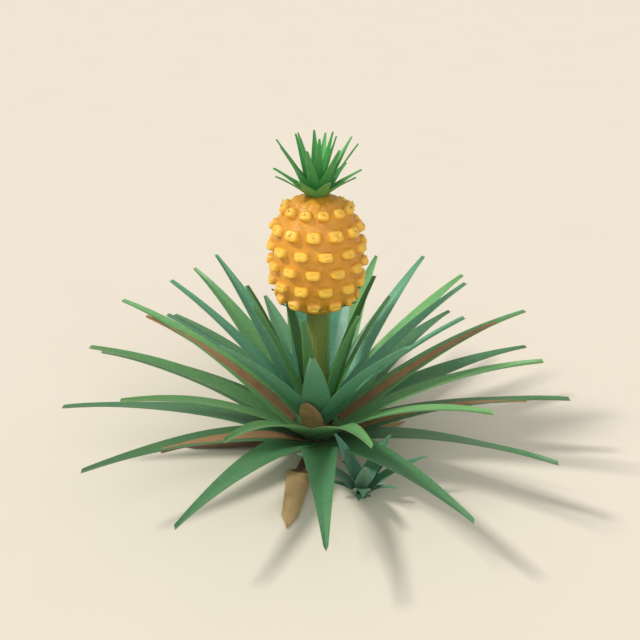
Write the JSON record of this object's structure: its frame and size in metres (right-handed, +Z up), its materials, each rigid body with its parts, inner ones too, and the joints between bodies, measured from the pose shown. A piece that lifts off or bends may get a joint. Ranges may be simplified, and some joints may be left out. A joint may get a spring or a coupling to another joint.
{
  "type": "pineapple plant",
  "caption": "Fruiting pineapple plant: a rosette of arching sword leaves round a short stem, with one golden fruit on a stalk, its leafy crown, a young pup and withered leaves on the ground.",
  "frame": {"origin": "centre of the flat cut under the stem, at ground level", "axes": "+Z straight up along the stem, -Y towards the side the pup stands on, right-handed"},
  "size_m": [0.8655, 0.8623, 0.5634],
  "materials": {
    "stem_bark": "fibrous brown-green stem under old leaf bases",
    "stalk_green": "smooth olive green stalk with faint ribs",
    "outer_leaf_green": "satin mid-green blade, pale underneath",
    "middle_leaf_green": "satin bright green blade, pale underneath",
    "inner_leaf_green": "satin blue-green blade with a grey bloom",
    "heart_leaf_green": "satin dark green blade",
    "fruit_rind": "waxy golden rind with yellow eyes",
    "crown_green": "satin green lance leaves",
    "pup_green": "satin blue-green young leaves",
    "dry_leaf_tan": "dull withered straw-brown leaf"
  },
  "bodies": {
    "root": {"stem": "stem_bark", "fruit_stalk": "stalk_green", "outer_leaf_01": "outer_leaf_green", "outer_leaf_02": "outer_leaf_green", "outer_leaf_03": "outer_leaf_green", "outer_leaf_04": "outer_leaf_green", "outer_leaf_05": "outer_leaf_green", "outer_leaf_06": "outer_leaf_green", "outer_leaf_07": "outer_leaf_green", "outer_leaf_08": "outer_leaf_green", "outer_leaf_09": "outer_leaf_green", "outer_leaf_10": "outer_leaf_green", "outer_leaf_11": "outer_leaf_green", "outer_leaf_12": "outer_leaf_green", "outer_leaf_13": "outer_leaf_green", "middle_leaf_01": "middle_leaf_green", "middle_leaf_02": "middle_leaf_green", "middle_leaf_03": "middle_leaf_green", "middle_leaf_04": "middle_leaf_green", "middle_leaf_05": "middle_leaf_green", "middle_leaf_06": "middle_leaf_green", "middle_leaf_07": "middle_leaf_green", "middle_leaf_08": "middle_leaf_green", "middle_leaf_09": "middle_leaf_green", "middle_leaf_10": "middle_leaf_green", "middle_leaf_11": "middle_leaf_green", "middle_leaf_12": "middle_leaf_green", "inner_leaf_01": "inner_leaf_green", "inner_leaf_02": "inner_leaf_green", "inner_leaf_03": "inner_leaf_green", "inner_leaf_04": "inner_leaf_green", "inner_leaf_05": "inner_leaf_green", "inner_leaf_06": "inner_leaf_green", "inner_leaf_07": "inner_leaf_green", "inner_leaf_08": "inner_leaf_green", "inner_leaf_09": "inner_leaf_green", "inner_leaf_10": "inner_leaf_green", "inner_leaf_11": "inner_leaf_green", "heart_leaf_01": "heart_leaf_green", "heart_leaf_02": "heart_leaf_green", "heart_leaf_03": "heart_leaf_green", "heart_leaf_04": "heart_leaf_green", "heart_leaf_05": "heart_leaf_green", "heart_leaf_06": "heart_leaf_green", "heart_leaf_07": "heart_leaf_green", "heart_leaf_08": "heart_leaf_green", "fruit": "fruit_rind", "crown": "crown_green", "pup_base": "pup_green", "pup_leaf_1": "pup_green", "pup_leaf_2": "pup_green", "pup_leaf_3": "pup_green", "pup_leaf_4": "pup_green", "pup_leaf_5": "pup_green", "pup_leaf_6": "pup_green", "dry_leaf_front": "dry_leaf_tan", "dry_leaf_left": "dry_leaf_tan", "dry_leaf_right": "dry_leaf_tan"}
  },
  "joints": []
}
